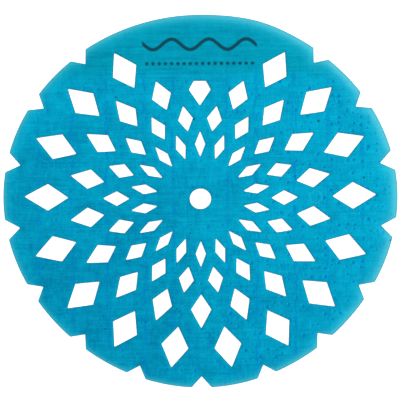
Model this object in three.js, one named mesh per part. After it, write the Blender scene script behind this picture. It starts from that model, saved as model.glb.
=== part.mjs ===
// A deodorizer screen for a urinal: one soft sheet, moulded flat in translucent plastic.
// Rings of diamond holes run round a hub hole, V notches cut the rim into petals, and a
// solid panel with an arched top takes the place of the petals and holes at the back.
// Millimetres and degrees. The sheet lies on z = 0 with its panel towards +Y.

import * as THREE from "three";

// Sheet
const THICKNESS = 3;
const EDGE_ROUND = 0.3;
const HUB_HOLE_RADIUS = 5.15;

// Diamond holes: where the first ring starts, each ring's length from tip to tip, and the
// share of that length at which its holes are widest
const SPOKES = 18;
const FIRST_TIP_RADIUS = 20.9;
const RING_1_LENGTH = 13.3;
const RING_2_LENGTH = 13;
const RING_3_LENGTH = 16.4;
const RING_4_LENGTH = 19.7;
const RING_1_WAIST_SHARE = 0.5;
const RING_2_WAIST_SHARE = 0.49;
const RING_3_WAIST_SHARE = 0.46;
const RING_4_WAIST_SHARE = 0.495;
const WAIST_HALF_ANGLE = 5.11;
const HOLE_CORNER_RADIUS = 0.3;

// Rim: how far it lies outside the last holes, and the notches that cut it into petals
const RIM_MARGIN = 8.15;
const NOTCH_DEPTH = 5.25;
const NOTCH_HALF_ANGLE = 2.94;
const RIM_CORNER_RADIUS = 0.4;

// How the soft sheet departs from a true circle: it is a little wider than it is long, most
// of all round the hub, it narrows towards the back, its left and right petals reach further
// out with the tips of the holes near them, and the ends of its rows sit higher
const OVAL_RATIO = 0.986;
const HUB_SQUEEZE_RATIO = 0.028;
const BACK_TAPER_RATIO = 0.012;
const SIDE_REACH = 3.8;
const SIDE_REACH_POWER = 8;
const SIDE_RISE = 1.85;

// Panel, measured from the hub: its arched top and its lower edge. It takes the place of
// some petals and outer holes, and its corners reach a bit past the rim. The hole that it
// cuts is a bit larger than the others of its ring, and the holes beside that one stop short
const PANEL_TOP = 88.95;
const PANEL_BOTTOM = 57;
const PANEL_PETALS = 4;
const PANEL_OUTER_HOLES = 2;
const PANEL_CORNER_REACH = 0.35;
const CUT_HOLE_GROWTH = 0.35;
const CUT_NEIGHBOUR_TRIM = 1.2;

const FILLET_STEPS = 2;
const PETAL_STEPS = 4;
const ARCH_STEPS = 24;
const HUB_STEPS = 28;

const pitch = 360 / SPOKES;
const backAngle = 90;
const panelHalfSpan = (PANEL_PETALS * pitch) / 2;

// Every other ring is turned by half a step, so its holes sit between those of the last
const rings = [];
let lastTip = FIRST_TIP_RADIUS;
for (const [length, waistShare] of [
  [RING_1_LENGTH, RING_1_WAIST_SHARE],
  [RING_2_LENGTH, RING_2_WAIST_SHARE],
  [RING_3_LENGTH, RING_3_WAIST_SHARE],
  [RING_4_LENGTH, RING_4_WAIST_SHARE],
]) {
  rings.push({
    inner: lastTip,
    waist: lastTip + waistShare * length,
    outer: lastTip + length,
    firstAngle: rings.length % 2 === 0 ? pitch / 2 : 0,
  });
  lastTip += length;
}
const [, , cutRing, outerRing] = rings;
const rimRadius = lastTip + RIM_MARGIN;
const notchRadius = rimRadius - NOTCH_DEPTH;

// The point of the sheet that belongs to a radius and an angle of the true circle
function place(radius, degrees) {
  const angle = THREE.MathUtils.degToRad(degrees);
  const share = radius / rimRadius;
  const reach = radius + SIDE_REACH * share ** SIDE_REACH_POWER * Math.cos(angle) ** 4;
  const x = reach * Math.cos(angle);
  const y = (OVAL_RATIO - HUB_SQUEEZE_RATIO * (1 - share)) * reach * Math.sin(angle);
  const taper = 1 - (BACK_TAPER_RATIO * y) / rimRadius;
  return new THREE.Vector2(x * taper, y * taper + SIDE_RISE * (x / rimRadius) ** 2);
}

function outwardNormal(from, to) {
  return new THREE.Vector2(to.y - from.y, from.x - to.x).normalize();
}

// Moves every edge of a counter-clockwise loop outwards by a distance
function offsetLoop(corners, distance) {
  return corners.map((corner, index) => {
    const normalIn = outwardNormal(corners.at(index - 1), corner);
    const normalOut = outwardNormal(corner, corners[(index + 1) % corners.length]);
    const bisector = normalIn.clone().add(normalOut).normalize();
    const moved = corner.clone().addScaledVector(bisector, distance / bisector.dot(normalIn));
    moved.fillet = corner.fillet;
    return moved;
  });
}

// Draws a loop of straight edges, with a fillet at each corner that asks for one
function drawLoop(path, corners) {
  corners.forEach((corner, index) => {
    const before = corners.at(index - 1).clone().sub(corner);
    const after = corners[(index + 1) % corners.length].clone().sub(corner);
    const halfAngle = Math.abs(before.angleTo(after)) / 2;
    const longest = Math.min(before.length(), after.length()) / 3;
    const setback = corner.fillet ? Math.min(corner.fillet / Math.tan(halfAngle), longest) : 0;
    const start = before.setLength(setback).add(corner);
    const end = after.setLength(setback).add(corner);
    if (index === 0) {
      path.moveTo(start.x, start.y);
    } else {
      path.lineTo(start.x, start.y);
    }
    if (corner.fillet) {
      path.quadraticCurveTo(corner.x, corner.y, end.x, end.y);
    }
  });
  path.closePath();
  return path;
}

// The four corners of a diamond hole, counter-clockwise from its inner tip
function diamondCorners(ring, angle) {
  const besideCutHole = ring === cutRing && Math.abs(angle - backAngle) === pitch;
  const trim = besideCutHole ? CUT_NEIGHBOUR_TRIM : 0;
  return [
    place(ring.inner, angle),
    place(ring.waist, angle - WAIST_HALF_ANGLE),
    place(ring.outer - trim, angle),
    place(ring.waist, angle + WAIST_HALF_ANGLE),
  ];
}

// Cuts a hole off flat where it would run in behind the panel's lower edge
function stopAtPanel(diamond) {
  const corners = offsetLoop(diamond, CUT_HOLE_GROWTH);
  const isBelow = (corner) => corner.y <= PANEL_BOTTOM;
  return corners.flatMap((corner, index) => {
    const next = corners[(index + 1) % corners.length];
    const kept = isBelow(corner) ? [corner] : [];
    if (isBelow(corner) !== isBelow(next)) {
      kept.push(corner.clone().lerp(next, (PANEL_BOTTOM - corner.y) / (next.y - corner.y)));
    }
    return kept;
  });
}

function holeLoops() {
  const loops = [];
  for (const ring of rings) {
    for (let spoke = 0; spoke < SPOKES; spoke += 1) {
      const angle = ring.firstAngle + spoke * pitch;
      const fromBack = Math.abs(angle - backAngle);
      if (ring === outerRing && fromBack < (PANEL_OUTER_HOLES * pitch) / 2) {
        continue;
      }
      const corners = diamondCorners(ring, angle);
      loops.push(ring === cutRing && fromBack === 0 ? stopAtPanel(corners) : corners);
    }
  }
  return loops;
}

// One petal's rim, with the notch that follows it
function petalCorners(middle) {
  const corners = [];
  const halfSpan = pitch / 2 - NOTCH_HALF_ANGLE;
  for (let step = 0; step <= PETAL_STEPS; step += 1) {
    const corner = place(rimRadius, middle - halfSpan + (2 * halfSpan * step) / PETAL_STEPS);
    corner.fillet = step === 0 || step === PETAL_STEPS ? RIM_CORNER_RADIUS : 0;
    corners.push(corner);
  }
  const notch = place(notchRadius, middle + pitch / 2);
  notch.fillet = RIM_CORNER_RADIUS;
  corners.push(notch);
  return corners;
}

// The panel's arched top, from its right corner to its left one, with the notch after it
function panelCorners() {
  const halfSpan = panelHalfSpan - NOTCH_HALF_ANGLE;
  const right = place(rimRadius + PANEL_CORNER_REACH, backAngle - halfSpan);
  const left = place(rimRadius + PANEL_CORNER_REACH, backAngle + halfSpan);
  const rise = PANEL_TOP - right.y;
  const archRadius = (right.x ** 2 + rise ** 2) / (2 * rise);
  const startAngle = Math.asin((archRadius - rise) / archRadius);
  const arch = new THREE.EllipseCurve(
    0, PANEL_TOP - archRadius, archRadius, archRadius, startAngle, Math.PI - startAngle,
  );
  const corners = arch.getPoints(ARCH_STEPS);
  corners[0].copy(right);
  corners.at(-1).copy(left);
  corners[0].fillet = RIM_CORNER_RADIUS;
  corners.at(-1).fillet = RIM_CORNER_RADIUS;
  const notch = place(notchRadius, backAngle + panelHalfSpan);
  notch.fillet = RIM_CORNER_RADIUS;
  corners.push(notch);
  return corners;
}

function outlineLoop() {
  const petalCount = SPOKES - PANEL_PETALS;
  const firstPetal = backAngle + panelHalfSpan + pitch / 2;
  const corners = panelCorners();
  for (let petal = 0; petal < petalCount; petal += 1) {
    corners.push(...petalCorners(firstPetal + petal * pitch));
  }
  return corners;
}

// The flat faces end where the rounded edges begin, so each loop is drawn that much inside
// the material, and the bevel carries it back out to its full size
function screenShape() {
  const shape = drawLoop(new THREE.Shape(), offsetLoop(outlineLoop(), -EDGE_ROUND));
  for (const corners of holeLoops()) {
    corners.forEach((corner) => {
      corner.fillet = HOLE_CORNER_RADIUS + EDGE_ROUND;
    });
    shape.holes.push(drawLoop(new THREE.Path(), offsetLoop(corners, EDGE_ROUND)));
  }
  const hubRadius = HUB_HOLE_RADIUS + EDGE_ROUND;
  const hub = new THREE.EllipseCurve(0, 0, hubRadius, (OVAL_RATIO - HUB_SQUEEZE_RATIO) * hubRadius);
  shape.holes.push(new THREE.Path(hub.getPoints(HUB_STEPS).slice(0, -1)));
  return shape;
}

const geometry = new THREE.ExtrudeGeometry(screenShape(), {
  depth: THICKNESS - 2 * EDGE_ROUND,
  bevelThickness: EDGE_ROUND,
  bevelSize: EDGE_ROUND,
  bevelSegments: 1,
  curveSegments: FILLET_STEPS,
});

const softPlastic = new THREE.MeshStandardMaterial({ color: "#049abe", roughness: 0.4, metalness: 0 });
const screenMat = new THREE.Mesh(geometry, softPlastic);
screenMat.name = "screen_mat";

// The underside rests on z = 0 and the middle of the outline stands over the origin
geometry.computeBoundingBox();
const middle = geometry.boundingBox.getCenter(new THREE.Vector3());
screenMat.position.set(-middle.x, -middle.y, EDGE_ROUND);

const screen = new THREE.Group();
screen.add(screenMat);

export default screen;
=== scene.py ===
import math

import bpy
import numpy as np
from mathutils.geometry import delaunay_2d_cdt
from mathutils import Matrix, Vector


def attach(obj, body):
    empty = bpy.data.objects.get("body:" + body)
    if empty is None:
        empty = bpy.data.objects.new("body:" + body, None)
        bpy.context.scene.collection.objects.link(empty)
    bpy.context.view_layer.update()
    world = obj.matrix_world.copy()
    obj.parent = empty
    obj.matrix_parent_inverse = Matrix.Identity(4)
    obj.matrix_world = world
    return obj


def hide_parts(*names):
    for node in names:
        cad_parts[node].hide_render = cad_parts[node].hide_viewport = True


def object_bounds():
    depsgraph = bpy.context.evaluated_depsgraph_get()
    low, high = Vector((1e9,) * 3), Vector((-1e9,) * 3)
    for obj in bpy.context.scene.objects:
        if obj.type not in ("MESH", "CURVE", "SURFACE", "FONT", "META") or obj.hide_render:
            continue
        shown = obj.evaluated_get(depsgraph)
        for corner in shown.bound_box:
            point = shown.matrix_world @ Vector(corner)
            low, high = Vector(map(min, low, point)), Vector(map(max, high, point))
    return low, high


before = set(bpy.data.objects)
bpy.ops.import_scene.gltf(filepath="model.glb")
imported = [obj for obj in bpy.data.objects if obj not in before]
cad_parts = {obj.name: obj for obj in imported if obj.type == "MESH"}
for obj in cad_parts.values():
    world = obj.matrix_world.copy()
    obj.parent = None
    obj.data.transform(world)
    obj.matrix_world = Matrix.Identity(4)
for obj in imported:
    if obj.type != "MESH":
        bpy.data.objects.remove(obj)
cad_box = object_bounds()

# The camera hangs straight over the screen with a long lens, as for a catalogue picture.
# The photograph shows the pattern turned a little anticlockwise, so the camera is rolled.
MM = 0.001
CAMERA_HEIGHT = 1.2
FRAME_WIDTH = 193.08 * MM
FRAME_MIDDLE = (-0.25 * MM, 0.48 * MM)
CAMERA_ROLL = math.radians(-0.374)
SENSOR = 36
CLIP_START = 0.01

camera_data = bpy.data.cameras.new("camera")
camera_data.sensor_width = SENSOR
camera_data.lens = SENSOR * (CAMERA_HEIGHT - cad_box[1].z) / FRAME_WIDTH
camera_data.clip_start = CLIP_START
camera = bpy.data.objects.new("camera", camera_data)
camera.location = (*FRAME_MIDDLE, CAMERA_HEIGHT)
camera.rotation_euler = (0, 0, CAMERA_ROLL)
bpy.context.collection.objects.link(camera)
bpy.context.scene.camera = camera

# The screen's pattern: rings of diamond holes, each turned by half a step, V notches that part
# the rim into petals, and a solid panel with an arched top. The soft sheet is a bit oval and
# tapered, and the panel's right shoulder has set high. Millimetres from the hub.
SPOKES = 18
FIRST_TIP_RADIUS = 20.9
RING_LENGTHS = (13.3, 13, 16.4, 19.7)
RING_WAIST_SHARES = (0.5, 0.49, 0.46, 0.495)
CUT_RING = 2
OUTER_RING = 3
WAIST_HALF_ANGLE = 5.11
HUB_HOLE_RADIUS = 5.15
RIM_MARGIN = 8.15
NOTCH_DEPTH = 5.25
NOTCH_HALF_ANGLE = 2.94
OVAL = 0.986
HUB_SQUEEZE = 0.028
BACK_TAPER = 0.012
SIDE_REACH = 3.8
SIDE_REACH_POWER = 8
SIDE_RISE = 1.85
PANEL_TOP = 88.95
PANEL_BOTTOM = 57
PANEL_PETALS = 4
PANEL_CORNER_REACH = 0.35
CUT_HOLE_GROWTH = 0.35
CUT_NEIGHBOUR_TRIM = 1.2
SHOULDER_RISE = 0.85
SHOULDER_PLACE = 30
SHOULDER_WIDTH = 17
BACK_ANGLE = 90

PETAL_STEPS = 12
ARCH_STEPS = 64
HUB_STEPS = 72
PLAIN, RIM_CORNER, NOTCH_BOTTOM = range(3)

PITCH = 360 / SPOKES
PANEL_HALF_SPAN = PANEL_PETALS * PITCH / 2
RIM_RADIUS = FIRST_TIP_RADIUS + sum(RING_LENGTHS) + RIM_MARGIN
HUB_Y = cad_box[1].y / MM - PANEL_TOP


def place(radius, degrees):
    """The point at a radius and an angle: the circle reaches out to the sides, by a high power
    of the radius and the fourth power of the cosine. It is pressed oval, most of all at the
    hub, narrowed in proportion to its way back, and lifted by the square of its way aside."""
    angle = np.radians(degrees)
    share = np.asarray(radius) / RIM_RADIUS
    reach = radius + SIDE_REACH * share**SIDE_REACH_POWER * np.cos(angle) ** 4
    x = reach * np.cos(angle)
    y = (OVAL - HUB_SQUEEZE * (1 - share)) * reach * np.sin(angle)
    taper = 1 - BACK_TAPER * y / RIM_RADIUS
    return np.stack([x * taper, y * taper + SIDE_RISE * (x / RIM_RADIUS) ** 2 + HUB_Y], axis=-1)


def right_normals(corners):
    """Unit normals to the right of each edge, from each corner to the next."""
    edges = np.roll(corners, -1, axis=0) - corners
    return np.stack([edges[:, 1], -edges[:, 0]], axis=-1) / np.linalg.norm(edges, axis=-1)[:, None]


def moved_sideways(corners, distance):
    """Every edge moves to its right: each corner goes along the mean of its two normals, by
    the distance over the cosine of half its turn."""
    after = right_normals(corners)
    before = np.roll(after, 1, axis=0)
    mean = before + after
    mean /= np.linalg.norm(mean, axis=-1)[:, None]
    return corners + mean * (distance / (mean * before).sum(axis=-1))[:, None]


def diamond(inner, length, waist_share, angle, trim):
    """Inner tip, one waist, outer tip and other waist, going clockwise."""
    waist = inner + waist_share * length
    radii = np.array([inner, waist, inner + length - trim, waist])
    turns = np.array([0, WAIST_HALF_ANGLE, 0, -WAIST_HALF_ANGLE])
    return place(radii, angle + turns)


def cut_flat(corners, height):
    """The outer tip gives way to the two points where its sides cross a level line."""
    inner, left, tip, right = corners
    sides = np.array([left, right])
    crossings = sides + (tip - sides) * ((height - sides[:, 1]) / (tip[1] - sides[:, 1]))[:, None]
    return np.array([inner, left, *crossings, right])


def hole_loops():
    """Every diamond in turn. In the ring before the last, the hole that the panel cuts is a
    bit larger and the two beside it stop short. The last ring leaves out the two holes that
    would lie behind the panel."""
    loops = []
    inner = FIRST_TIP_RADIUS
    for ring, (length, waist_share) in enumerate(zip(RING_LENGTHS, RING_WAIST_SHARES)):
        first = PITCH / 2 if ring % 2 == 0 else 0
        for angle in first + PITCH * np.arange(SPOKES):
            from_back = abs(angle - BACK_ANGLE)
            if ring == OUTER_RING and from_back < PITCH:
                continue
            trim = CUT_NEIGHBOUR_TRIM if ring == CUT_RING and from_back == PITCH else 0
            corners = diamond(inner, length, waist_share, angle, trim)
            if ring == CUT_RING and from_back == 0:
                corners = cut_flat(moved_sideways(corners, -CUT_HOLE_GROWTH), PANEL_BOTTOM + HUB_Y)
            loops.append(corners)
        inner += length
    return loops


def arch_corners():
    """Points of the circle through the panel's two corners and the middle of its top, with the
    right shoulder raised by a bell curve."""
    half_span = PANEL_HALF_SPAN - NOTCH_HALF_ANGLE
    corner_radius = RIM_RADIUS + PANEL_CORNER_REACH
    right, left = place(corner_radius, BACK_ANGLE + np.array([-half_span, half_span]))
    top = PANEL_TOP + HUB_Y
    rise = top - right[1]
    radius = (right[0] ** 2 + rise**2) / (2 * rise)
    start = math.asin((radius - rise) / radius)
    angle = np.linspace(start, math.pi - start, ARCH_STEPS + 1)
    points = np.stack([radius * np.cos(angle), top - radius + radius * np.sin(angle)], axis=-1)
    points[:, 1] += SHOULDER_RISE * np.exp(-(((points[:, 0] - SHOULDER_PLACE) / SHOULDER_WIDTH) ** 2))
    points[0] = right
    points[-1] = left
    return points


def outline_loop():
    """The arch, then each petal's rim, with a notch point after each. Says too which points
    are plain, which are corners of the rim and which are the bottoms of notches."""
    half_span = PITCH / 2 - NOTCH_HALF_ANGLE
    middles = BACK_ANGLE + PANEL_HALF_SPAN + PITCH * (0.5 + np.arange(SPOKES - PANEL_PETALS))
    steps = np.linspace(-half_span, half_span, PETAL_STEPS + 1)
    rims = place(RIM_RADIUS, middles[:, None] + steps)
    apexes = place(RIM_RADIUS - NOTCH_DEPTH, middles[:, None] + PITCH / 2)
    petals = np.concatenate([rims, apexes], axis=1)
    ends = [RIM_CORNER, NOTCH_BOTTOM]
    petal_kinds = np.array([RIM_CORNER] + [PLAIN] * (PETAL_STEPS - 1) + ends)
    panel_apex = place(RIM_RADIUS - NOTCH_DEPTH, BACK_ANGLE + PANEL_HALF_SPAN)
    arch = arch_corners()
    arch_kinds = np.array([RIM_CORNER] + [PLAIN] * (ARCH_STEPS - 1) + ends)
    points = np.concatenate([arch, panel_apex[None], petals.reshape(-1, 2)])
    kinds = np.concatenate([arch_kinds, np.tile(petal_kinds, len(middles))])
    return points, kinds


# The sheet itself: soft EVA with perfume in it, moulded flat in one shot, about 3 mm thick.
# Its edges are rounded, and its rim thins out. The upper face has slight waves and a round
# mark like that of an ejector pin, and the underside is plain.
THICKNESS = cad_box[1].z / MM
EDGE_ROUND = 0.4
ROUND_STEPS = 4
HOLE_FILLET = 0.7
RIM_FILLET = 0.4
FILLET_STEPS = 4
SHORT_EDGE_PARTS = 3
TINY = 1e-9
RIM_BEVEL_WIDTH = 3.4
RIM_BEVEL_DROP = 0.8
PIN_MARK = (55.8, 0.65)
PIN_MARK_MIDDLE = np.array(PIN_MARK) + np.array([0, HUB_Y])
PIN_MARK_RADIUS = 2.9
PIN_MARK_WIDTH = 0.3
PIN_MARK_DEPTH = 0.09

# Waves: for each, how many lengths it runs to the right and back, and its start in radians
WAVE_DEPTH = 0.06
WAVE_LENGTH = 31
WAVES = ((1, 0.6, 0), (0.5, -1.3, 1))

# Painted light in the rim, white as if seen through it: its strength and width, each with what it gains
# towards the side of the lamp
PALE_SIDE = math.radians(30)
PALE_STRENGTH = (0.73, 0.19)
PALE_WIDTH = (2.1, 1.0)
PALE_SIDE_WIDTH = 0.6
PALE_RIM_SHARE = 0.4
PALE_FALL = 1.55
PALE_LINE = 0.3
PALE_LINE_WIDTH = 0.45

# Painted shade on the cut edges, which sets in over a few rows of their rounding, and painted light
# beside the holes and behind the rim, with what that one gains to the left
HOLE_EDGE_SHADE = 0.8
RIM_EDGE_SHADE = 0.65
SHADE_ROWS = 2
LIT_REACH = 0.9
RIM_LIGHT = (0.17, 0.36)
RIM_LIGHT_REACH = 5

# The upper face's points, a grid with closer rings out to three widths of the mark's bell,
# and how they are joined
GRID_STEP = 0.9
PIN_MARK_RINGS = 22
PIN_MARK_SPOKES = 60
PIN_MARK_FIRST_RING = 0.4
BELL_REACH = 3
POINTS_AT_ONCE = 1500
MERGE_DISTANCE = 1e-7
INSIDE_LOOPS = 1


def filleted(corners, radii):
    """Each corner becomes an arc that touches both edges, with its middle on the corner's
    bisector, and takes no more than a third of the shorter edge. The arc's spokes turn from
    the first to the last by the sines of the angles left and gone. Gives the points and their
    unit normals to the right of the way round."""
    before = np.roll(corners, 1, axis=0) - corners
    after = np.roll(corners, -1, axis=0) - corners
    length_before = np.linalg.norm(before, axis=-1)
    length_after = np.linalg.norm(after, axis=-1)
    before /= length_before[:, None]
    after /= length_after[:, None]
    half = np.arccos(np.clip((before * after).sum(axis=-1), -1, 1)) / 2
    longest = np.minimum(length_before, length_after) / SHORT_EDGE_PARTS
    setback = np.minimum(radii / np.tan(half), longest)
    radius = setback * np.tan(half)
    bisector = before + after
    bisector /= np.maximum(np.linalg.norm(bisector, axis=-1), TINY)[:, None]
    middle = corners + bisector * (radius / np.sin(half))[:, None]
    is_arc = radii > 0
    safe = np.where(is_arc, radius, 1)[:, None]
    first = (corners + before * setback[:, None] - middle) / safe
    last = (corners + after * setback[:, None] - middle) / safe
    sweep = (math.pi - 2 * half)[:, None, None]
    share = np.linspace(0, 1, FILLET_STEPS + 1)[None, :, None]
    with np.errstate(all="ignore"):
        spoke = np.sin((1 - share) * sweep) * first[:, None] + np.sin(share * sweep) * last[:, None]
        spoke = spoke / np.sin(sweep)
    turn = before[:, 0] * after[:, 1] - before[:, 1] * after[:, 0]
    outward = np.where(turn > 0, -1, 1)[:, None, None]
    arcs = middle[:, None] + spoke * radius[:, None, None]
    normals = spoke * outward
    mean = np.roll(right_normals(corners), 1, axis=0) + right_normals(corners)
    mean /= np.linalg.norm(mean, axis=-1)[:, None]
    arcs = np.where(is_arc[:, None, None], arcs, corners[:, None])
    normals = np.where(is_arc[:, None, None], normals, mean[:, None])
    kept = is_arc[:, None] | (np.arange(FILLET_STEPS + 1) == 0)
    return arcs[kept], normals[kept]


def hub_loop():
    """An ellipse, clockwise, with normals that point to its middle."""
    angle = -np.arange(HUB_STEPS) * 2 * math.pi / HUB_STEPS
    circle = np.stack([np.cos(angle), np.sin(angle)], axis=-1)
    points = circle * (HUB_HOLE_RADIUS + EDGE_ROUND) * np.array([1, OVAL - HUB_SQUEEZE])
    return points + np.array([0, HUB_Y]), -circle


def distance_to_loop(points, loop):
    """The least distance from each point to the loop's edges, by the foot on each edge."""
    start = loop[None]
    edge = np.roll(loop, -1, axis=0)[None] - start
    length = (edge**2).sum(axis=-1)
    parts = []
    for group in np.array_split(points[:, None], max(1, len(points) // POINTS_AT_ONCE)):
        along = np.clip(((group - start) * edge).sum(axis=-1) / length, 0, 1)
        parts.append(np.linalg.norm(group - start - along[..., None] * edge, axis=-1).min(axis=1))
    return np.concatenate(parts)


def inside_loop(points, loop):
    """Whether a ray to the right of each point crosses the loop's edges an odd number of times."""
    start = loop[None]
    end = np.roll(loop, -1, axis=0)[None]
    parts = []
    for group in np.array_split(points[:, None], max(1, len(points) // POINTS_AT_ONCE)):
        spans = (start[..., 1] > group[..., 1]) != (end[..., 1] > group[..., 1])
        rise = np.where(spans, end[..., 1] - start[..., 1], 1)
        run = end[..., 0] - start[..., 0]
        crossing = start[..., 0] + (group[..., 1] - start[..., 1]) * run / rise
        parts.append((spans & (crossing > group[..., 0])).sum(axis=1) % 2 == 1)
    return np.concatenate(parts)


def clear_of_diamond(points, corners, margin):
    """Outside a diamond, the largest of the distances past its sides is above the margin."""
    inward = right_normals(corners)
    past = ((corners[None] - points[:, None]) * inward[None]).sum(axis=-1).max(axis=1)
    return past > margin


def grid_points(face_outline, holes):
    """Rows of points in a triangular grid, and closer rings of points over the pin mark, kept
    where they are clear of every edge."""
    reach = RIM_RADIUS + SIDE_REACH
    rows = np.arange(-reach, reach, GRID_STEP * math.sqrt(3) / 2)
    columns = np.arange(-reach, reach, GRID_STEP)
    shift = (np.arange(len(rows)) % 2) * GRID_STEP / 2
    x = columns[None] + shift[:, None]
    points = np.stack([x, np.broadcast_to(rows[:, None], x.shape)], axis=-1).reshape(-1, 2)
    mark_reach = PIN_MARK_RADIUS + BELL_REACH * PIN_MARK_WIDTH
    from_mark = np.linalg.norm(points - PIN_MARK_MIDDLE, axis=-1)
    points = points[from_mark > mark_reach + GRID_STEP / 2]
    radius = np.linspace(PIN_MARK_FIRST_RING, mark_reach, PIN_MARK_RINGS)[:, None]
    angle = np.linspace(0, 2 * math.pi, PIN_MARK_SPOKES, endpoint=False)[None] + radius
    rings = np.stack([radius * np.cos(angle), radius * np.sin(angle)], axis=-1)
    points = np.concatenate([points, PIN_MARK_MIDDLE + rings.reshape(-1, 2)])
    margin = EDGE_ROUND + GRID_STEP / 2
    points = points[inside_loop(points, face_outline)]
    from_hub = np.linalg.norm(points - np.array([0, HUB_Y]), axis=-1)
    points = points[from_hub > HUB_HOLE_RADIUS + margin]
    for corners in holes:
        points = points[clear_of_diamond(points, corners, margin)]
    return points[distance_to_loop(points, face_outline) > GRID_STEP / 2]


def upper_height(points, rim_distance):
    """The thickness, less the rim's bevel (a smooth step over its width), slow waves, each a
    sine along its own way, and the ring-shaped groove (a bell curve round its radius)."""
    share = np.clip(1 - rim_distance / RIM_BEVEL_WIDTH, 0, 1)
    bevel = RIM_BEVEL_DROP * share**2 * (3 - 2 * share)
    x = points[:, 0] * 2 * math.pi / WAVE_LENGTH
    y = points[:, 1] * 2 * math.pi / WAVE_LENGTH
    sines = [np.sin(right * x + back * y + shift) for right, back, shift in WAVES]
    waves = WAVE_DEPTH * (1 + np.mean(sines, axis=0)) / 2
    off = np.linalg.norm(points - PIN_MARK_MIDDLE, axis=-1) - PIN_MARK_RADIUS
    groove = PIN_MARK_DEPTH * np.exp(-((off / PIN_MARK_WIDTH) ** 2))
    return THICKNESS - bevel - waves - groove


def painted_rim_light(points, rim_distance, depth):
    """How much painted light shows in the thin rim, as white seen through it. It fades with the distance
    from the outline and with the depth behind the closed rim, so it dies away up the notches. It is
    strongest and widest on the side towards the lamp, a bit wider to the left and right, and a thin line
    of it runs along the whole outline."""
    angle = np.arctan2(points[:, 1] - HUB_Y, points[:, 0])
    facing = np.cos(angle - PALE_SIDE)
    strength = PALE_STRENGTH[0] + PALE_STRENGTH[1] * facing
    width = PALE_WIDTH[0] + PALE_WIDTH[1] * facing + PALE_SIDE_WIDTH * np.cos(angle) ** 2
    way_in = PALE_RIM_SHARE * rim_distance + (1 - PALE_RIM_SHARE) * depth
    line = PALE_LINE * np.exp(-((rim_distance / PALE_LINE_WIDTH) ** 2) - (depth / width / 2) ** 2)
    band = strength * np.exp(-((way_in / width) ** PALE_FALL))
    return np.minimum(band + line * (1 - strength), 1)


def lit_beside(points, holes):
    """How much painted light shows in the sheet beside each hole: a bell curve of the distance past the
    hole's nearest side, times how far that side looks to the right, towards the lamp."""
    lit = np.zeros(len(points))
    for corners in holes:
        inward = right_normals(corners)
        past = ((corners[None] - points[:, None]) * inward[None]).sum(axis=-1)
        nearest = past.argmax(axis=1)
        bell = np.exp(-((past.max(axis=1) / LIT_REACH) ** 2))
        lit = np.maximum(lit, bell * np.clip(inward[nearest, 0], 0, 1))
    return lit


def lit_behind_rim(points, depth):
    """How much painted light shows in the thinner sheet behind the rim: a bell curve of the depth behind
    the closed rim, stronger towards the left by the cosine of the angle."""
    angle = np.arctan2(points[:, 1] - HUB_Y, points[:, 0])
    strength = RIM_LIGHT[0] + RIM_LIGHT[1] * np.clip(-np.cos(angle), 0, 1)
    return strength * np.exp(-((depth / RIM_LIGHT_REACH) ** 2))


def triangles_of(points, loops):
    """The Delaunay triangles of the points that keep every loop's edges, less those that lie in
    a hole, with their corners anticlockwise."""
    places = [tuple(point) for point in points]
    output = delaunay_2d_cdt(places, [], loops, INSIDE_LOOPS, MERGE_DISTANCE)
    _, _, triangles, sources, _, loops_round = output
    first_source = np.array([source[0] for source in sources])
    kept = [face for face, around in zip(triangles, loops_round) if list(around) == [0]]
    faces = first_source[np.array(kept)]
    a, b, c = points[faces[:, 0]], points[faces[:, 1]], points[faces[:, 2]]
    area = (b[:, 0] - a[:, 0]) * (c[:, 1] - a[:, 1]) - (b[:, 1] - a[:, 1]) * (c[:, 0] - a[:, 0])
    return np.where(area[:, None] > 0, faces, faces[:, ::-1])


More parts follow.
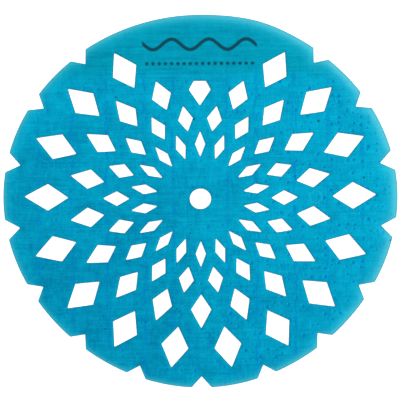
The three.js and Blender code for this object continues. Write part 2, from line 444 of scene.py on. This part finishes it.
def sheet_mesh():
    """Both flat faces, joined round each loop by a quarter round, a wall and a quarter round."""
    outline, kinds = outline_loop()
    fillets = np.choose(kinds, [0, RIM_FILLET, HOLE_FILLET])
    faces = [filleted(moved_sideways(outline, -EDGE_ROUND), fillets)]
    holes = hole_loops()
    for corners in holes:
        radii = np.full(len(corners), HOLE_FILLET)
        faces.append(filleted(moved_sideways(corners, -EDGE_ROUND), radii))
    faces.append(hub_loop())

    sizes = np.array([len(points) for points, _ in faces])
    starts = np.cumsum(sizes) - sizes
    points = np.concatenate([points for points, _ in faces])
    normals = np.concatenate([normals for _, normals in faces])
    count = len(points)
    loop_ids = [np.arange(start, start + size) for start, size in zip(starts, sizes)]
    following = np.concatenate([np.roll(ids, -1) for ids in loop_ids])
    face_outline = faces[0][0]

    inner = grid_points(face_outline, holes)
    flat = np.concatenate([points, inner])
    rim_distance = distance_to_loop(flat, face_outline)
    rim_distance[: sizes[0]] = 0
    height = upper_height(flat, rim_distance)
    depth = distance_to_loop(flat, moved_sideways(outline, -EDGE_ROUND)[kinds != NOTCH_BOTTOM])
    # Painted light in the thin rim, white as if seen through it
    pale = painted_rim_light(flat, rim_distance, depth)
    # Painted light beside the holes and behind the rim
    lit = np.maximum(lit_beside(flat, holes), lit_behind_rim(flat, depth))

    angle = np.linspace(0, math.pi / 2, ROUND_STEPS + 1)
    out = EDGE_ROUND * np.sin(angle)
    down = EDGE_ROUND * (1 - np.cos(angle))
    sideways = np.concatenate([out, out[::-1]])
    rows = points[None] + normals[None] * sideways[:, None, None]
    upper = height[None, :count] - down[:, None]
    lower = np.broadcast_to(down[::-1, None], upper.shape)
    edge = np.concatenate([rows, np.concatenate([upper, lower])[..., None]], axis=-1)
    top = np.concatenate([inner, height[count:, None]], axis=-1)
    vertices = np.concatenate([edge.reshape(-1, 3), top]) * MM
    row_count = len(sideways)
    pale_all = np.concatenate([np.tile(pale[:count], row_count), pale[count:]])
    lit_all = np.concatenate([np.tile(lit[:count], row_count), lit[count:]])
    # Painted shade on the rounded edges and walls, which sets in over the first rows
    edge_shade = np.where(np.arange(count) < sizes[0], RIM_EDGE_SHADE, HOLE_EDGE_SHADE)
    edge_shade_rows = np.clip((0.5 + np.arange(row_count)) / SHADE_ROWS, 0, 1)[:, None] * edge_shade[None]
    edge_shade_all = np.concatenate([edge_shade_rows.reshape(-1), np.zeros(len(inner))])

    loops = [list(map(int, loop_ids[0]))] + [list(map(int, ids[::-1])) for ids in loop_ids[1:]]
    top_faces = triangles_of(flat, loops)
    top_faces = np.where(top_faces < count, top_faces, top_faces + (row_count - 1) * count)
    bottom_faces = triangles_of(points, loops)[:, ::-1] + (row_count - 1) * count
    here = np.arange(count)[None] + count * np.arange(row_count - 1)[:, None]
    there = following[None] + count * np.arange(row_count - 1)[:, None]
    walls = np.stack([here, here + count, there + count, there], axis=-1).reshape(-1, 4)

    mesh = bpy.data.meshes.new("screen_sheet")
    polygons = top_faces.tolist() + bottom_faces.tolist() + walls.tolist()
    mesh.from_pydata(vertices.tolist(), [], polygons)
    smooth = np.ones(len(polygons), dtype=bool)
    smooth[len(top_faces) : len(top_faces) + len(bottom_faces)] = False
    mesh.polygons.foreach_set("use_smooth", smooth)
    for name, values in (("painted_light_rim", pale_all), ("painted_edge_shade", edge_shade_all), ("lit_edge", lit_all)):
        mesh.attributes.new(name, "FLOAT", "POINT").data.foreach_set("value", values)
    mesh.validate()
    mesh.update()
    return mesh


screen_sheet = bpy.data.objects.new("screen_sheet", sheet_mesh())
bpy.context.collection.objects.link(screen_sheet)
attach(screen_sheet, "root")
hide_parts("screen_mat")


# The sheet's finish: EVA dyed in the mass and moulded. It is matt with a soft sheen. The dye lies in fine
# streaks and upright bluer bands, what look like tiny bubbles show as deeper dots, and there are a few
# dark specks. Painted light and shade lie over it: a lighter slope towards the lamp, painted light in the
# rim and beside the holes, painted highlights beside the dots and on the round mark, and painted shade on
# the cut edges. Sizes are in millimetres.
DEEP_BLUE = "#007FA9"
LIGHT_BLUE = "#02B7DA"
PANEL_TEAL = "#008A98"
BAND_BLUE = "#0084C8"
DOT_HIGHLIGHT = "#10B8E2"
DOT_BLUE = "#0070BC"
# Painted light: the rim's lighter blue, which the ring's painted highlight shares, and the white in the
# rim's edge
PAINTED_LIGHT_BLUE = "#28BDD6"
PAINTED_LIGHT_WHITE = "#A6E2E0"
SPECK_TEAL = "#06404A"
SPECK_BLUE = "#06468C"
EDGE_SHADE_TEAL = "#007496"
INK = "#123E4D"
SHEEN_BLUE = "#40BCD8"


def linear(hex_colour):
    """sRGB hex to linear light, with alpha 1."""
    values = np.array([int(hex_colour[i : i + 2], 16) for i in (1, 3, 5)]) / 255
    light = np.where(values <= 0.04045, values / 12.92, ((values + 0.055) / 1.055) ** 2.4)
    return (*light.tolist(), 1)


def add(tree, kind, sockets=None, **settings):
    """Adds a node. A socket is set to a value, or linked where it is given an output."""
    node = tree.nodes.new(kind)
    for name, value in settings.items():
        setattr(node, name, value)
    for key, value in (sockets or {}).items():
        if isinstance(value, bpy.types.NodeSocket):
            tree.links.new(value, node.inputs[key])
        else:
            node.inputs[key].default_value = value
    return node


eva = bpy.data.materials.new("moulded translucent EVA")
eva.use_nodes = True
tree = eva.node_tree
shader = tree.nodes["Principled BSDF"]
position = add(tree, "ShaderNodeTexCoord").outputs["Object"]
hub = (0, HUB_Y * MM, 0)
from_hub = add(tree, "ShaderNodeVectorMath", {0: position, 1: hub}, operation="SUBTRACT")
across, back, up = add(tree, "ShaderNodeSeparateXYZ", {0: from_hub.outputs[0]}).outputs
flat = add(tree, "ShaderNodeCombineXYZ", {0: across, 1: back}).outputs[0]
aside = add(tree, "ShaderNodeMath", {0: across}, operation="ABSOLUTE").outputs[0]

# Tone, from deep to light blue: a slow slope from the left front to the right back, which is painted
# light, lighter towards the lamp's side, and on it layers of noise, each with its size across and up the
# sheet, its detail and its strength
SLOPE_WAY = (0.62, 0.78, 0)
SLOPE_HALF = 95
PAINTED_LIGHT_SLOPE = (-0.24, 0.2)
TONE_LAYERS = (
    ("patches", 26, 26, 2, 0.55),
    ("mottle", 3.5, 3.5, 2, 0.7),
    ("streaks", 16, 0.8, 3, 0.8),
    ("cross streaks", 0.8, 7, 2, 0.5),
    ("grain", 0.7, 0.7, 1, 0.6),
)
LAYER_DEPTH = 10
LAYER_ROUGHNESS = 0.55
along = add(tree, "ShaderNodeVectorMath", {0: flat, 1: SLOPE_WAY}, operation="DOT_PRODUCT")
sockets = {
    "Value": along.outputs["Value"],
    "From Min": -SLOPE_HALF * MM,
    "From Max": SLOPE_HALF * MM,
    "To Min": PAINTED_LIGHT_SLOPE[0],
    "To Max": PAINTED_LIGHT_SLOPE[1],
}
tone_and_painted_light = add(tree, "ShaderNodeMapRange", sockets).outputs[0]
layers = {}
for layer, size_x, size_y, detail, strength in TONE_LAYERS:
    scale = (1 / (size_x * MM), 1 / (size_y * MM), 1 / (LAYER_DEPTH * MM))
    scaled = add(tree, "ShaderNodeMapping", {0: position, 3: scale}, label=layer).outputs[0]
    sockets = {"Vector": scaled, "Scale": 1.0, "Detail": detail, "Roughness": LAYER_ROUGHNESS}
    layers[layer] = add(tree, "ShaderNodeTexNoise", sockets).outputs["Fac"]
    centred = add(tree, "ShaderNodeMath", {0: layers[layer], 1: 0.5}, operation="SUBTRACT")
    sockets = {0: centred.outputs[0], 1: strength, 2: tone_and_painted_light}
    tone_and_painted_light = add(tree, "ShaderNodeMath", sockets, operation="MULTIPLY_ADD").outputs[0]

# In the panel, which fades in over a few millimetres, the streaks are longer and stronger
PANEL_FADE = (56, 64)
PANEL_STREAK_SIZE = (30, 1.3)
PANEL_STREAK_DETAIL = 3.0
PANEL_STREAK_ROUGHNESS = 0.6
PANEL_STREAK_MIDDLE = 0.52
PANEL_STREAK_STRENGTH = 1.5
sockets = {"Value": back, "From Min": PANEL_FADE[0] * MM, "From Max": PANEL_FADE[1] * MM}
in_panel = add(tree, "ShaderNodeMapRange", sockets, interpolation_type="SMOOTHSTEP").outputs[0]
scale = (1 / (PANEL_STREAK_SIZE[0] * MM), 1 / (PANEL_STREAK_SIZE[1] * MM), 0)
sockets = {
    "Vector": add(tree, "ShaderNodeMapping", {0: position, 3: scale}).outputs[0],
    "Scale": 1.0,
    "Detail": PANEL_STREAK_DETAIL,
    "Roughness": PANEL_STREAK_ROUGHNESS,
}
noise = add(tree, "ShaderNodeTexNoise", sockets).outputs["Fac"]
centred = add(tree, "ShaderNodeMath", {0: noise, 1: PANEL_STREAK_MIDDLE}, operation="SUBTRACT")
here = add(tree, "ShaderNodeMath", {0: centred.outputs[0], 1: in_panel}, operation="MULTIPLY")
sockets = {0: here.outputs[0], 1: PANEL_STREAK_STRENGTH, 2: tone_and_painted_light}
tone_and_painted_light = add(tree, "ShaderNodeMath", sockets, operation="MULTIPLY_ADD").outputs[0]

# Painted light along the left sides of the holes and behind the rim
LIT_STRENGTH = 0.55
lit = add(tree, "ShaderNodeAttribute", attribute_name="lit_edge").outputs["Fac"]
sockets = {0: lit, 1: LIT_STRENGTH, 2: tone_and_painted_light}
tone_and_painted_light = add(tree, "ShaderNodeMath", sockets, operation="MULTIPLY_ADD").outputs[0]
share = add(tree, "ShaderNodeMath", {0: tone_and_painted_light, 1: 0.5}, operation="ADD", use_clamp=True).outputs[0]
sockets = {0: share, 6: linear(DEEP_BLUE), 7: linear(LIGHT_BLUE)}
colour = add(tree, "ShaderNodeMix", sockets, data_type="RGBA").outputs[2]

# What lies over the dye, lowest first: how much of it shows, and its colour. The lowest is a
# dusky tint in the panel.
PANEL_TEAL_SHARE = 0.38
dusky = add(tree, "ShaderNodeMath", {0: in_panel, 1: PANEL_TEAL_SHARE}, operation="MULTIPLY")
tints = [(dusky.outputs[0], PANEL_TEAL)]

# Upright bands of a bluer tint, the same to the left and right, each with its place and
# strength. They are broken along their length, and fade out towards the panel.
BANDS = ((13.1, 0.6), (27.0, 1.0), (45.4, 1.0), (61.6, 0.7), (78.0, 0.7))
BAND_HALF_WIDTH = 1.7
BAND_LINE = 1.1
BAND_BREAK = 7
BAND_DETAIL = 2
BAND_GAPS = (0.4, 0.62)
BAND_SHARE = 0.85
BAND_FADE = (66, 54)
bands = 0.0
for band_place, band_strength in BANDS:
    off_band = add(tree, "ShaderNodeMath", {0: aside, 1: band_place * MM}, operation="SUBTRACT")
    away = add(tree, "ShaderNodeMath", {0: off_band.outputs[0]}, operation="ABSOLUTE").outputs[0]
    reach = BAND_HALF_WIDTH * MM
    sockets = {"Value": away, "From Min": reach, "From Max": 0, "To Max": band_strength}
    near = add(tree, "ShaderNodeMapRange", sockets, interpolation_type="SMOOTHSTEP").outputs[0]
    bands = add(tree, "ShaderNodeMath", {0: near, 1: bands}, operation="MAXIMUM").outputs[0]
scale = (1 / (BAND_LINE * MM), 1 / (BAND_BREAK * MM), 0)
scaled = add(tree, "ShaderNodeMapping", {0: position, 3: scale}).outputs[0]
sockets = {"Vector": scaled, "Scale": 1.0, "Detail": BAND_DETAIL}
sockets = {
    "Value": add(tree, "ShaderNodeTexNoise", sockets).outputs["Fac"],
    "From Min": BAND_GAPS[0],
    "From Max": BAND_GAPS[1],
    "To Max": BAND_SHARE,
}
broken = add(tree, "ShaderNodeMapRange", sockets, interpolation_type="SMOOTHSTEP").outputs[0]
sockets = {"Value": back, "From Min": BAND_FADE[0] * MM, "From Max": BAND_FADE[1] * MM}
faded = add(tree, "ShaderNodeMapRange", sockets, interpolation_type="SMOOTHSTEP").outputs[0]
bands = add(tree, "ShaderNodeMath", {0: bands, 1: broken}, operation="MULTIPLY").outputs[0]
bands = add(tree, "ShaderNodeMath", {0: bands, 1: faded}, operation="MULTIPLY").outputs[0]
tints.append((bands, BAND_BLUE))

# Dots like bubbles: one in some cells of a random pattern, in a share that grows outwards and to the
# right by so much a metre, and falls in the panel. Each is a deeper spot over a painted highlight that
# lies a little aside.
DOT_SPACING = 3.5
DOT_RANDOMNESS = 0.9
DOT_CROWD = 0.06
DOT_CROWD_OUTWARD = 3.5
DOT_CROWD_RIGHTWARD = 3.0
DOT_CHANCE = (-0.25, 0.35)
DOT_SPREAD = (0.7, 0.7)
DOT_SPOTS = (((0.8, -0.3, 0), DOT_HIGHLIGHT, 0.5, 0.55), ((0, 0, 0), DOT_BLUE, 0.62, 0.8))
DOT_FADE = (1.5, 0.4)
radius = add(tree, "ShaderNodeVectorMath", {0: flat}, operation="LENGTH").outputs["Value"]
sockets = {0: radius, 1: DOT_CROWD_OUTWARD, 2: DOT_CROWD}
outward = add(tree, "ShaderNodeMath", sockets, operation="MULTIPLY_ADD").outputs[0]
sockets = {0: across, 1: DOT_CROWD_RIGHTWARD, 2: outward}
crowd = add(tree, "ShaderNodeMath", sockets, operation="MULTIPLY_ADD").outputs[0]
crowd = add(tree, "ShaderNodeMath", {0: crowd, 1: in_panel}, operation="SUBTRACT").outputs[0]
for shift, tint, spot_radius, spot_strength in DOT_SPOTS:
    moved_by = tuple(step * MM for step in shift)
    sockets = {
        "Vector": add(tree, "ShaderNodeVectorMath", {0: flat, 1: moved_by}).outputs[0],
        "Scale": 1 / (DOT_SPACING * MM),
        "Randomness": DOT_RANDOMNESS,
    }
    cells = add(tree, "ShaderNodeTexVoronoi", sockets, voronoi_dimensions="2D").outputs
    chance = add(tree, "ShaderNodeSeparateColor", {0: cells["Color"]}).outputs
    excess = add(tree, "ShaderNodeMath", {0: crowd, 1: chance[0]}, operation="SUBTRACT")
    sockets = {
        "Value": excess.outputs[0],
        "From Min": DOT_CHANCE[0],
        "From Max": DOT_CHANCE[1],
        "To Max": spot_strength,
    }
    present = add(tree, "ShaderNodeMapRange", sockets, interpolation_type="SMOOTHSTEP").outputs[0]
    sockets = {0: chance[1], 1: DOT_SPREAD[0], 2: DOT_SPREAD[1]}
    spread = add(tree, "ShaderNodeMath", sockets, operation="MULTIPLY_ADD").outputs[0]
    reach = add(tree, "ShaderNodeMath", {0: cells["Distance"], 1: spread}, operation="MULTIPLY")
    sockets = {
        "Value": reach.outputs[0],
        "From Min": DOT_FADE[0] * spot_radius / DOT_SPACING,
        "From Max": DOT_FADE[1] * spot_radius / DOT_SPACING,
    }
    spot = add(tree, "ShaderNodeMapRange", sockets, interpolation_type="SMOOTHSTEP").outputs[0]
    dots = add(tree, "ShaderNodeMath", {0: spot, 1: present}, operation="MULTIPLY").outputs[0]
    tints.append((dots, tint))

# Painted light in the thin rim: a lighter blue, and white as if showing through its very edge
PALE_WHITE_POWER = 3.0
PALE_WHITE_SHARE = 0.3
pale = add(tree, "ShaderNodeAttribute", attribute_name="painted_light_rim").outputs["Fac"]
white = add(tree, "ShaderNodeMath", {0: pale, 1: PALE_WHITE_POWER}, operation="POWER").outputs[0]
white = add(tree, "ShaderNodeMath", {0: white, 1: PALE_WHITE_SHARE}, operation="MULTIPLY").outputs[0]
tints.append((pale, PAINTED_LIGHT_BLUE))
tints.append((white, PAINTED_LIGHT_WHITE))

# The ring of the round mark, painted lighter: a painted highlight on its groove, in the rim's painted
# light blue
MARK_LINE = 0.45
MARK_HIGHLIGHT_SHARE = 0.45
mark_at = (PIN_MARK[0] * MM, PIN_MARK[1] * MM, 0)
to_mark = add(tree, "ShaderNodeVectorMath", {0: flat, 1: mark_at}, operation="DISTANCE").outputs["Value"]
past = add(tree, "ShaderNodeMath", {0: to_mark, 1: PIN_MARK_RADIUS * MM}, operation="SUBTRACT").outputs[0]
off_ring = add(tree, "ShaderNodeMath", {0: past}, operation="ABSOLUTE").outputs[0]
sockets = {"Value": off_ring, "From Min": MARK_LINE * MM, "From Max": 0, "To Max": MARK_HIGHLIGHT_SHARE}
ring = add(tree, "ShaderNodeMapRange", sockets, interpolation_type="SMOOTHSTEP").outputs[0]
tints.append((ring, PAINTED_LIGHT_BLUE))

# Dark specks: place from the hub, radius and colour
SPECKS = (
    (57.15, 37.23, 0.75, SPECK_TEAL),
    (51.9, 39.58, 0.45, SPECK_TEAL),
    (78.9, 9.8, 0.6, SPECK_TEAL),
    (-40.7, 49.3, 0.5, SPECK_TEAL),
    (-2.9, 38.5, 0.65, SPECK_TEAL),
    (91.5, -20.7, 0.4, SPECK_TEAL),
    (-46.4, -62.6, 0.5, SPECK_BLUE),
    (-26.9, -59.2, 0.5, SPECK_BLUE),
    (-11.9, -52.9, 0.45, SPECK_BLUE),
    (-12.8, 9.6, 0.5, SPECK_BLUE),
    (-3.8, 5.6, 0.45, SPECK_BLUE),
    (-5.1, -16.6, 0.45, SPECK_BLUE),
)
SPECK_FADE = (1.3, 0.3)
SPECK_SHARE = 0.85
for speck_x, speck_y, speck_radius, tint in SPECKS:
    speck_at = (speck_x * MM, speck_y * MM, 0)
    reach = add(tree, "ShaderNodeVectorMath", {0: flat, 1: speck_at}, operation="DISTANCE")
    sockets = {
        "Value": reach.outputs["Value"],
        "From Min": speck_radius * SPECK_FADE[0] * MM,
        "From Max": speck_radius * SPECK_FADE[1] * MM,
        "To Max": SPECK_SHARE,
    }
    speck = add(tree, "ShaderNodeMapRange", sockets, interpolation_type="SMOOTHSTEP").outputs[0]
    tints.append((speck, tint))

# Painted shade: the rounded cut edges and walls are darker than the face
edge_shade = add(tree, "ShaderNodeAttribute", attribute_name="painted_edge_shade").outputs["Fac"]
tints.append((edge_shade, EDGE_SHADE_TEAL))

# The print on the panel's upper face, in dark slate ink: one long wavy line with round ends
# over a row of dots. The distance to the line is the upright one over the root of one plus
# the square of the line's slope.
LINE_PLACE = 74.6
LINE_HALF_LENGTH = 27
LINE_PERIOD = 18
LINE_HEIGHT = 2.5
LINE_STROKE = 1.7
ROW_PLACE = 65.3
ROW_SPACING = 3
ROW_DOT_RADIUS = 0.8
INK_BLUR = 0.3
INK_SHARE = 0.95
turns = 2 * math.pi / LINE_PERIOD
phase = add(tree, "ShaderNodeMath", {0: across, 1: turns / MM}, operation="MULTIPLY").outputs[0]
swing = add(tree, "ShaderNodeMath", {0: phase}, operation="SINE").outputs[0]
sockets = {0: swing, 1: LINE_HEIGHT * MM, 2: LINE_PLACE * MM}
line_y = add(tree, "ShaderNodeMath", sockets, operation="MULTIPLY_ADD").outputs[0]
drop = add(tree, "ShaderNodeMath", {0: back, 1: line_y}, operation="SUBTRACT").outputs[0]
upright = add(tree, "ShaderNodeMath", {0: drop}, operation="ABSOLUTE").outputs[0]
lean = add(tree, "ShaderNodeMath", {0: phase}, operation="COSINE").outputs[0]
slope = add(tree, "ShaderNodeMath", {0: lean, 1: LINE_HEIGHT * turns}, operation="MULTIPLY").outputs[0]
square = add(tree, "ShaderNodeMath", {0: slope, 1: slope, 2: 1.0}, operation="MULTIPLY_ADD").outputs[0]
length = add(tree, "ShaderNodeMath", {0: square}, operation="SQRT").outputs[0]
off_line = add(tree, "ShaderNodeMath", {0: upright, 1: length}, operation="DIVIDE").outputs[0]
line_end = LINE_HALF_LENGTH * MM
past_end = add(tree, "ShaderNodeMath", {0: aside, 1: line_end}, operation="SUBTRACT").outputs[0]
over = add(tree, "ShaderNodeMath", {0: past_end, 1: 0.0}, operation="MAXIMUM").outputs[0]
off_line = add(tree, "ShaderNodeCombineXYZ", {0: off_line, 1: over}).outputs[0]
reach = add(tree, "ShaderNodeVectorMath", {0: off_line}, operation="LENGTH")
sockets = {
    "Value": reach.outputs["Value"],
    "From Min": (LINE_STROKE / 2 + INK_BLUR) * MM,
    "From Max": (LINE_STROKE / 2 - INK_BLUR) * MM,
}
line = add(tree, "ShaderNodeMapRange", sockets).outputs[0]

spacing = ROW_SPACING * MM
cell = add(tree, "ShaderNodeMath", {0: across, 1: spacing}, operation="DIVIDE").outputs[0]
part = add(tree, "ShaderNodeMath", {0: cell}, operation="FRACT").outputs[0]
centred = add(tree, "ShaderNodeMath", {0: part, 1: 0.5}, operation="SUBTRACT").outputs[0]
dot_x = add(tree, "ShaderNodeMath", {0: centred, 1: spacing}, operation="MULTIPLY").outputs[0]
dot_y = add(tree, "ShaderNodeMath", {0: back, 1: ROW_PLACE * MM}, operation="SUBTRACT").outputs[0]
from_dot = add(tree, "ShaderNodeCombineXYZ", {0: dot_x, 1: dot_y}).outputs[0]
reach = add(tree, "ShaderNodeVectorMath", {0: from_dot}, operation="LENGTH")
sockets = {
    "Value": reach.outputs["Value"],
    "From Min": (ROW_DOT_RADIUS + INK_BLUR) * MM,
    "From Max": (ROW_DOT_RADIUS - INK_BLUR) * MM,
}
row = add(tree, "ShaderNodeMapRange", sockets).outputs[0]
within = add(tree, "ShaderNodeMath", {0: aside, 1: line_end}, operation="LESS_THAN").outputs[0]
row = add(tree, "ShaderNodeMath", {0: row, 1: within}, operation="MULTIPLY").outputs[0]
motif = add(tree, "ShaderNodeMath", {0: line, 1: row}, operation="MAXIMUM").outputs[0]
upper = add(tree, "ShaderNodeMath", {0: up, 1: THICKNESS / 2 * MM}, operation="GREATER_THAN").outputs[0]
printed = add(tree, "ShaderNodeMath", {0: motif, 1: upper}, operation="MULTIPLY").outputs[0]
ink = add(tree, "ShaderNodeMath", {0: printed, 1: INK_SHARE}, operation="MULTIPLY").outputs[0]
tints.append((ink, INK))

for share, tint in tints:
    sockets = {0: share, 6: colour, 7: linear(tint)}
    colour = add(tree, "ShaderNodeMix", sockets, data_type="RGBA").outputs[2]
tree.links.new(colour, shader.inputs["Base Color"])

# EVA's index, and a little light scattered under the skin. The grain varies the gloss, and the
# streaks, the grain and the dots show as a very low relief.
GRAIN_GLOSS = (0.16, 0.36)
STREAK_RELIEF = 0.6
RELIEF_STRENGTH = 0.3
RELIEF_DEPTH = 0.15
shader.inputs["IOR"].default_value = 1.48
shader.inputs["Specular IOR Level"].default_value = 0.2
shader.inputs["Specular Tint"].default_value = linear(SHEEN_BLUE)
shader.inputs["Subsurface Weight"].default_value = 0.12
shader.inputs["Subsurface Radius"].default_value = (0.3, 1.0, 1.3)
shader.inputs["Subsurface Scale"].default_value = 1.0 * MM
sockets = {0: layers["grain"], 1: GRAIN_GLOSS[0], 2: GRAIN_GLOSS[1]}
roughness = add(tree, "ShaderNodeMath", sockets, operation="MULTIPLY_ADD").outputs[0]
tree.links.new(roughness, shader.inputs["Roughness"])
sockets = {0: layers["streaks"], 1: STREAK_RELIEF, 2: layers["grain"]}
relief = add(tree, "ShaderNodeMath", sockets, operation="MULTIPLY_ADD").outputs[0]
relief = add(tree, "ShaderNodeMath", {0: relief, 1: dots}, operation="SUBTRACT").outputs[0]
sockets = {"Strength": RELIEF_STRENGTH, "Distance": RELIEF_DEPTH * MM, "Height": relief}
bump = add(tree, "ShaderNodeBump", sockets).outputs[0]
tree.links.new(bump, shader.inputs["Normal"])
screen_sheet.data.materials.append(eva)


# The studio: a pale floor that shows white to the camera, an even white surround, and one
# large soft lamp to the right of the back, which gives the rounded edges their shade.
FLOOR_SIZE = 6
FLOOR_DROP = 0.2 * MM
FLOOR_GLOW = 0.85
LAMP_PLACE = (0.75, 0.42, 0.95)
LAMP_SIZE = 0.5
LAMP_POWER = 7
SURROUND = 0.68


def shown_directly(tree):
    """1 for rays from the camera, or seen in gloss or through glass, and 0 for other rays."""
    rays = add(tree, "ShaderNodeLightPath").outputs
    sockets = {0: rays["Is Camera Ray"], 1: rays["Is Glossy Ray"]}
    seen = add(tree, "ShaderNodeMath", sockets, operation="MAXIMUM")
    sockets = {0: seen.outputs[0], 1: rays["Is Transmission Ray"]}
    return add(tree, "ShaderNodeMath", sockets, operation="MAXIMUM").outputs[0]


white_sweep = bpy.data.materials.new("white sweep")
white_sweep.use_nodes = True
tree = white_sweep.node_tree
shader = tree.nodes["Principled BSDF"]
shader.inputs["Base Color"].default_value = linear("#EEF0F0")
shader.inputs["Roughness"].default_value = 0.9
shader.inputs["Specular IOR Level"].default_value = 0.1
shader.inputs["Emission Color"].default_value = linear("#FFFFFF")
glow = add(tree, "ShaderNodeMath", {0: shown_directly(tree), 1: FLOOR_GLOW}, operation="MULTIPLY")
tree.links.new(glow.outputs[0], shader.inputs["Emission Strength"])

half = FLOOR_SIZE / 2
floor_mesh = bpy.data.meshes.new("floor")
corner_ways = ((-1, -1), (1, -1), (1, 1), (-1, 1))
floor_corners = [(half * x, half * y, -FLOOR_DROP) for x, y in corner_ways]
floor_mesh.from_pydata(floor_corners, [], [(0, 1, 2, 3)])
floor_mesh.materials.append(white_sweep)
floor = bpy.data.objects.new("floor", floor_mesh)
bpy.context.collection.objects.link(floor)

world = bpy.data.worlds.new("surround")
bpy.context.scene.world = world
world.use_nodes = True
tree = world.node_tree
tree.nodes.clear()
plain = add(tree, "ShaderNodeBackground", {"Color": linear("#FFFFFF"), "Strength": SURROUND})
white = add(tree, "ShaderNodeBackground", {"Color": linear("#FFFFFF"), "Strength": 1.0})
sockets = {0: shown_directly(tree), 1: plain.outputs[0], 2: white.outputs[0]}
mixed = add(tree, "ShaderNodeMixShader", sockets)
add(tree, "ShaderNodeOutputWorld", {0: mixed.outputs[0]})

lamp_data = bpy.data.lights.new("soft lamp", "AREA")
lamp_data.shape = "DISK"
lamp_data.size = LAMP_SIZE
lamp_data.energy = LAMP_POWER
lamp = bpy.data.objects.new("soft lamp", lamp_data)
lamp.location = LAMP_PLACE
lamp.rotation_euler = (-lamp.location).to_track_quat("-Z", "Y").to_euler()
bpy.context.collection.objects.link(lamp)

bpy.context.scene.view_settings.view_transform = "Standard"
